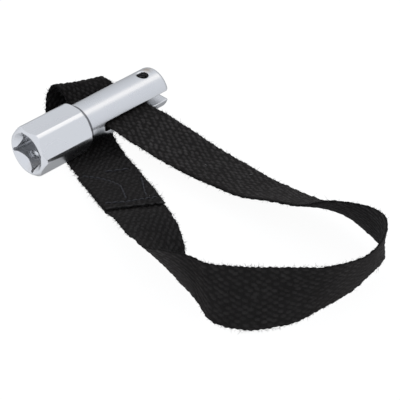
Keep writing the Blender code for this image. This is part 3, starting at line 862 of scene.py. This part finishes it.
def floats(along, across, face):
    """Height of one face of the plain weave over its middle plane, and the tint of the float on top."""
    column = (across + HALF_WIDTH) / WARP_SPACING - 0.5
    height = np.full(along.shape, CORE_HALF_THICKNESS)
    tint = np.full(along.shape, 0.3)
    for step in (-1, 0, 1, 2):
        warp = np.floor(column) + step
        real = (warp >= 0) & (warp < WARP_COUNT)
        warp = np.clip(warp, 0, WARP_COUNT - 1).astype(int)
        turn = (along / PICK_SPACING + warp + face) / 2
        number = np.round(turn).astype(int)
        from_top = 2 * PICK_SPACING * (turn - number) - FLOAT_LATE[face, warp, number]
        size = FLOAT_SIZE[face, warp, number]
        lengthwise = np.sqrt(np.maximum(1 - (from_top / FLOAT_HALF_LENGTH) ** 2, 0.0))
        half_width = WARP_SPACING * (0.36 + 0.24 * lengthwise)
        slant = FLOAT_SLANT[face] + 0.8 * FLOAT_SHIFT[face, warp, number]
        from_middle = (column - warp) * WARP_SPACING - FLOAT_SHIFT[face, warp, number] + slant * from_top
        dome = np.sqrt(np.maximum(1 - (from_middle / half_width) ** 2, 0.0))
        crown = CORE_HALF_THICKNESS + FLOAT_HEIGHT * size * lengthwise**0.8 * dome
        higher = real & (crown > height)
        height = np.where(higher, crown, height)
        tint = np.where(higher, FLOAT_TINT[face, warp, number], tint)
    return height, tint


def seam_places(points, pitch):
    """Places along a seam at about this pitch, on a smooth curve through its points."""
    points = np.array(points)
    along = np.concatenate([[0.0], np.cumsum(np.linalg.norm(np.diff(points, axis=0), axis=1))])
    count = max(2, round(along[-1] / pitch) + 1)
    fine = np.linspace(0.0, along[-1], 8 * count)
    line = np.stack([np.interp(fine, along, points[:, k]) for k in range(2)], 1)
    for _ in range(6):
        line[1:-1] = (line[:-2] + 2 * line[1:-1] + line[2:]) / 4
    places = np.linspace(0.0, along[-1], count)
    return np.stack([np.interp(places, fine, line[:, k]) for k in range(2)], 1)


def seam_trough(from_cut, across):
    """How far the stitches pull the lap in, at places on it."""
    trough = np.zeros(from_cut.shape)
    near = (from_cut < 42.0) & (from_cut > -3.0)
    for name, points in SEAMS.items():
        for a, b in seam_places(points, TROUGH_STEP):
            away = (from_cut[near] - a) ** 2 + (across[near] - b) ** 2
            trough[near] = np.maximum(trough[near], TROUGH_DEPTH * np.exp(-away / 0.55))
            if name == "driver_row":
                # A fold lies beside this row.
                away = ((from_cut[near] - a + 1.7) / 0.45) ** 2 + ((across[near] - b) / 0.9) ** 2
                trough[near] = np.maximum(trough[near], TROUGH_DEPTH * np.exp(-away))
    return trough


def tone_and_relief_along(s, run_length):
    """How bright the webbing is painted, uneven dye with painted light and shade, and how deep the relief,
    at distances along the strip.
    """
    places, dye_and_painted_light, relief = (np.array(column) for column in zip(*TONE_AND_RELIEF))
    here = np.mod(s, run_length)
    return np.interp(here, places, dye_and_painted_light), np.interp(here, places, relief)


def selvedge_shift(s, w, yarn):
    """How far across the weft pulls the selvedge in or lets it out, never quite evenly."""
    edge_share = np.clip((np.abs(w) - HALF_WIDTH + SELVEDGE_DEPTH) / SELVEDGE_DEPTH, 0.0, 1.0)
    turn = (s / PICK_SPACING + yarn) / 2
    uneven = FLOAT_SHIFT[0, yarn, np.round(turn).astype(int)] * np.cos(math.pi * turn) ** 2
    pulled = np.abs(np.cos(math.pi * s / PICK_SPACING)) - 0.6
    scallop = SCALLOP * pulled + SELVEDGE_UNEVENNESS * uneven
    return np.sign(w) * edge_share * (scallop - 0.06 + 0.08 * np.sin(0.31 * s + w))


def strip_faces(rows, columns, last):
    """Faces of the closed strip, each of whose rows runs over one face to column last, and back."""
    a = (np.arange(rows - 1)[:, None] * columns + np.arange(columns)).ravel()
    b = (np.arange(rows - 1)[:, None] * columns + (np.arange(columns) + 1) % columns).ravel()
    quads = [np.stack([a + columns, b + columns, b, a], 1)]
    corners = []
    i = np.arange(1, last - 1)
    for base, order in ((0, [3, 2, 0, 1]), ((rows - 1) * columns, [2, 3, 1, 0])):
        cap = np.stack([base + i, base + i + 1, base + columns - i, base + columns - i - 1], 1)
        quads.append(cap[:, order])
        first = [base, base + 1, base + columns - 1]
        final = [base + last - 1, base + last, base + last + 1]
        corners += [first, final] if base == 0 else [first[::-1], final[::-1]]
    return np.concatenate(quads), np.array(corners)


def webbing_tint(s, w, run_length, float_tint, dye_and_painted_light, relief):
    """How bright the webbing is, dye with painted light and shade, as a share of the yarn layer's brightest
    tone.
    """
    # Painted shade darkens the webbing near the driver, and painted light and shade with uneven dye lie
    # along the loop.
    from_slot = np.mod(s + run_length / 2, run_length) - run_length / 2
    driver_shade = np.exp(-((from_slot / DRIVER_SHADE_REACH) ** 2))
    tint = (1 + 0.4 * relief * (float_tint - 0.5)) * (1 - 0.6 * driver_shade) * dye_and_painted_light / TONE_SCALE
    # Under the cut end the webbing is painted black with shadow.
    slanting = CUT_SLANT * (w / WEBBING_WIDTH + 0.5)
    under = np.exp(-(((s - run_length - LAP_CUT_END + slanting - 0.2) / 0.55) ** 2))
    tint = tint * (1 - 0.9 * under)
    # Painted shade darkens the lower selvedge of the near limb.
    painted_edge_shade = np.exp(-(((w + HALF_WIDTH - 0.6) / 1.3) ** 2))
    on_near_limb = np.exp(-(((np.mod(s, run_length) - 95.0) / 45.0) ** 4))
    return tint * (1 - 0.6 * (painted_edge_shade * on_near_limb))


def make_webbing(run, material):
    """The whole strip, from its cut end over the lap, once round the run, to its hidden end."""
    start, end = LAP_CUT_END, run.length + LAP_HIDDEN_END
    stations = round((end - start) / (PICK_SPACING / SAMPLES_PER_PICK)) + 1
    across = np.linspace(-HALF_WIDTH, HALF_WIDTH, WARP_COUNT * SAMPLES_PER_WARP + 1)
    last = len(across) - 1
    ring_across = np.concatenate([across, across[-2:0:-1]])
    upper = np.arange(len(ring_across)) <= last
    s, w = np.meshgrid(np.linspace(start, end, stations), ring_across, indexing="ij")

    # The cut is slanting, and each warp yarn is cut at a slightly different length.
    slanting = CUT_SLANT * (w / WEBBING_WIDTH + 0.5) * eased(1 - (s - start) / CUT_SLANT_REACH)
    yarn = np.clip(((w + HALF_WIDTH) / WARP_SPACING).astype(int), 0, WARP_COUNT - 1)
    ragged = RANDOM.uniform(-CUT_RAGGED, CUT_RAGGED, (2, WARP_COUNT))
    near_start = np.clip(1 - (s - start) / CUT_RAGGED_REACH, 0.0, 1.0)
    near_end = np.clip(1 - (end - s) / CUT_RAGGED_REACH, 0.0, 1.0)
    s = s - slanting + ragged[0][yarn] * near_start + ragged[1][yarn] * near_end

    top, top_tint = floats(s, w, 0)
    bottom, bottom_tint = floats(s, w, 1)
    # The stretch that grips the filter has been pressed flatter.
    dye_and_painted_light, relief = tone_and_relief_along(s, run.length)
    flatness = 0.7 + 0.3 * relief
    top = CORE_HALF_THICKNESS + flatness * (top - CORE_HALF_THICKNESS)
    bottom = CORE_HALF_THICKNESS + flatness * (bottom - CORE_HALF_THICKNESS)
    crown = (np.where(upper, top, bottom) - CORE_HALF_THICKNESS) / FLOAT_HEIGHT
    from_edge = np.clip((HALF_WIDTH - np.abs(w)) / SELVEDGE_ROUNDING, 0.0, 1.0)
    rounding = np.sqrt(1 - (1 - from_edge) ** 2)
    thin = 1 - CUT_THINNED * eased(1 - (s - start + slanting) / 3.0)
    height = np.where(upper, top, -bottom) * rounding * thin
    # The strip isn't quite flat.
    height = height + 0.05 * np.sin(0.71 * s + 1.7 * np.sin(0.23 * w)) * np.sin(1.13 * w + 0.37 * s)
    on_top = seam_trough(s - start, w)
    on_hidden = seam_trough(s - run.length - start, w)
    height = height + on_top * np.where(upper, 0.3, 1.0) + 0.3 * on_hidden

    wide = w + selvedge_shift(s, w, yarn)
    centre, side, out = run.at(s)
    points = centre + side * wide[..., None] + out * (height - layer_offset(s, run.length))[..., None]
    points[..., 2] = np.maximum(points[..., 2], LOWEST)
    mesh = solid_mesh("woven_strap", points.reshape(-1, 3), *strip_faces(*s.shape, last))

    float_tint = np.where(upper, top_tint, bottom_tint)
    tint = webbing_tint(s, w, run.length, float_tint, dye_and_painted_light, relief)
    crown = 0.6 + relief * (np.clip(crown, 0.0, 1.0) - 0.6)
    frayed = np.where(upper, 0.0, np.clip(1 - (s - (start - slanting)) / 0.5, 0.0, 1.0))
    face = np.broadcast_to(np.where(upper, 0.0, UNDER_FACE), s.shape)
    # The yarn layer carries the crowns for the painted shade in the gaps, the tone with its painted light
    # and shade, and the fray.
    for name, parts in (("weave", (s, w, face)), ("yarn", (crown * rounding, tint, frayed))):
        layer = mesh.attributes.new(name, "FLOAT_VECTOR", "POINT")
        layer.data.foreach_set("vector", np.stack(parts, -1).astype(np.float32).ravel())
    nodes = ["webbing_wrap", "webbing_near_root", "webbing_loop", "webbing_lap_under", "webbing_lap_over"]
    return add_piece(mesh, material, nodes)


def make_seam(name, points, run, material):
    """One line of lockstitch: a row of short twisted three-ply threads, each pulled in at both ends."""
    holes = seam_places(points, STITCH_PITCH)
    sides, rings = 9, 13
    around = np.linspace(0.0, 2 * math.pi, sides, endpoint=False)
    cosine, sine = np.cos(around)[None, :, None], np.sin(around)[None, :, None]
    t = np.linspace(0.0, 1.0, rings)
    all_points, quads, ends = [], [], []
    for number, (first, second) in enumerate(zip(holes, holes[1:])):
        wander = RANDOM.uniform(-0.12, 0.12, 2)
        sunk = SEAM_SUNK[name] * RANDOM.uniform(0.4, 1.0) * min(1.0, 0.3 + number / 5)
        line = first + (second - first) * (0.04 + 0.92 * t)[:, None] + np.outer(np.sin(math.pi * t), wander)
        s = LAP_CUT_END + line[:, 0]
        centre, across, out = run.at(s)
        rise = CORE_HALF_THICKNESS + FLOAT_HEIGHT - 0.75 + 0.7 * np.sin(math.pi * t) ** 0.5
        stand_off = layer_offset(s, run.length) + rise - sunk
        middle = centre + across * line[:, 1:] - out * stand_off[:, None]
        ahead = np.gradient(middle, axis=0)
        ahead /= np.linalg.norm(ahead, axis=1)[:, None]
        sideways = np.cross(ahead, out)
        sideways /= np.linalg.norm(sideways, axis=1)[:, None]
        upright = np.cross(sideways, ahead)
        ply = 1 + 0.16 * np.cos(3 * around[None] - 2 * math.pi * 1.6 * t[:, None] + number)
        radius = THREAD_RADIUS * ply * (0.55 + 0.45 * np.sin(math.pi * t) ** 0.4)[:, None]
        ring = cosine * sideways[:, None] + sine * upright[:, None]
        base = number * rings * sides
        all_points.append((middle[:, None] + radius[..., None] * ring).reshape(-1, 3))
        a = (np.arange(rings - 1)[:, None] * sides + np.arange(sides)).ravel()
        b = (np.arange(rings - 1)[:, None] * sides + (np.arange(sides) + 1) % sides).ravel()
        quads.append(base + np.stack([a, a + sides, b + sides, b], 1))
        ends += [base + np.arange(sides), base + rings * sides - 1 - np.arange(sides)]
    mesh = solid_mesh("thread_" + name, np.concatenate(all_points), np.concatenate(quads), np.array(ends))
    return add_piece(mesh, material, ["stitches_" + name])


def hairs(roots, directions, lengths, radius):
    """Points and faces of thin curved hairs, each a closed three-sided tapering spike."""
    count = len(roots)
    t = np.array([0.0, 0.35, 0.7, 1.0])
    around = np.array([0.0, 2 * math.pi / 3, 4 * math.pi / 3])
    aside = np.cross(directions, RANDOM.normal(size=(count, 3)))
    aside /= np.linalg.norm(aside, axis=1)[:, None]
    other = np.cross(directions, aside)
    bend = RANDOM.uniform(-0.5, 0.5, (count, 1, 1))
    middle = roots[:, None] + lengths[:, None, None] * (
        directions[:, None] * t[None, :, None] + aside[:, None] * bend * (t**2)[None, :, None]
    )
    thick = radius * np.array([1.0, 0.85, 0.6, 0.25])
    ring = np.cos(around)[:, None] * aside[:, None] + np.sin(around)[:, None] * other[:, None]
    points = middle[:, :, None] + thick[None, :, None, None] * ring[:, None]
    base = (np.arange(count) * len(t) * len(around))[:, None, None]
    k = np.array([0, 3, 6])[:, None]
    j = np.arange(3)
    a, b = (k + j).ravel(), (k + (j + 1) % 3).ravel()
    quads = base + np.stack([a, b, b + 3, a + 3], 1)[None]
    ends = base + np.array([[2, 1, 0], [9, 10, 11]])[None]
    points = points.reshape(-1, 3)
    points[:, 2] = np.maximum(points[:, 2], LOWEST)
    return points, quads.reshape(-1, 4), ends.reshape(-1, 3)


def unit(vectors):
    return vectors / np.linalg.norm(vectors, axis=1)[:, None]


def make_fuzz(run, material):
    """Loose fibre ends that stand out from the selvedges, the cut end and, sparsely, from both faces."""
    edge, face, cut = FIBRE_COUNTS
    count = edge + face + cut
    on_edge, on_face, at_cut = slice(0, edge), slice(edge, edge + face), slice(edge + face, count)
    s = LAP_CUT_END + 0.5 + RANDOM.uniform(0.0, run.length + LAP_HIDDEN_END - LAP_CUT_END - 1.0, count)
    w = RANDOM.uniform(-HALF_WIDTH + 0.3, HALF_WIDTH - 0.3, count)
    sign = RANDOM.choice([-1.0, 1.0], count)
    w[on_edge] = sign[on_edge] * HALF_WIDTH
    s[at_cut] = LAP_CUT_END - CUT_SLANT * (w[at_cut] / WEBBING_WIDTH + 0.5)
    centre, side, out = run.at(s)
    ahead = np.cross(side, out)
    scatter = RANDOM.normal(size=(count, 3))
    directions = side * sign[:, None] + 0.75 * scatter[:, :1] * ahead + 0.5 * scatter[:, 1:2] * out
    lie = scatter[:, :1] * ahead + scatter[:, 1:2] * side + 0.35 * sign[:, None] * out
    end_on = 0.5 * scatter[:, :1] * side - ahead + 0.5 * scatter[:, 1:2] * out
    directions[on_face] = lie[on_face]
    directions[at_cut] = end_on[at_cut]
    above = RANDOM.uniform(-0.35, 0.35, count)
    above[on_face] = 0.6 * sign[on_face]
    roots = centre + side * w[:, None] + out * (above - layer_offset(s, run.length))[:, None]
    extra = RANDOM.exponential(FIBRE_MEAN_EXTRA, count)
    lengths = np.minimum(FIBRE_SHORTEST + extra, FIBRE_LONGEST)
    mesh = solid_mesh("loose_fibres", *hairs(roots, unit(directions), lengths, FIBRE_RADIUS))
    return add_piece(mesh, material, [])


def make_lint(run, material):
    """A few pale bits of lint."""
    bits = np.array(LINT)
    centre, side, out = run.at(bits[:, 0])
    ahead = np.cross(side, out)
    roots = centre + side * bits[:, 1:2] + out * bits[:, 3:4]
    mesh = solid_mesh("lint", *hairs(roots, unit(ahead + 0.4 * side), bits[:, 2], LINT_RADIUS))
    return add_piece(mesh, material, [])


# ---------------------------------------------------------------- assembly

bpy.context.scene.view_settings.view_transform = "Standard"
make_camera()
make_floor()
make_tent()
make_strip_light()
make_driver(plated_steel())
make_spring_pin(spring_steel())
run = Run()
strap = make_webbing(run, black_webbing())
thread = black_thread()
trimmings = [make_seam(name, points, run, thread) for name, points in SEAMS.items()]
trimmings.append(make_fuzz(run, loose_fibre("loose_fibre", (0.02, 0.019, 0.019), (0.05, 0.048, 0.047))))
trimmings.append(make_lint(run, loose_fibre("pale_lint", (0.12, 0.12, 0.12), (0.3, 0.3, 0.29))))
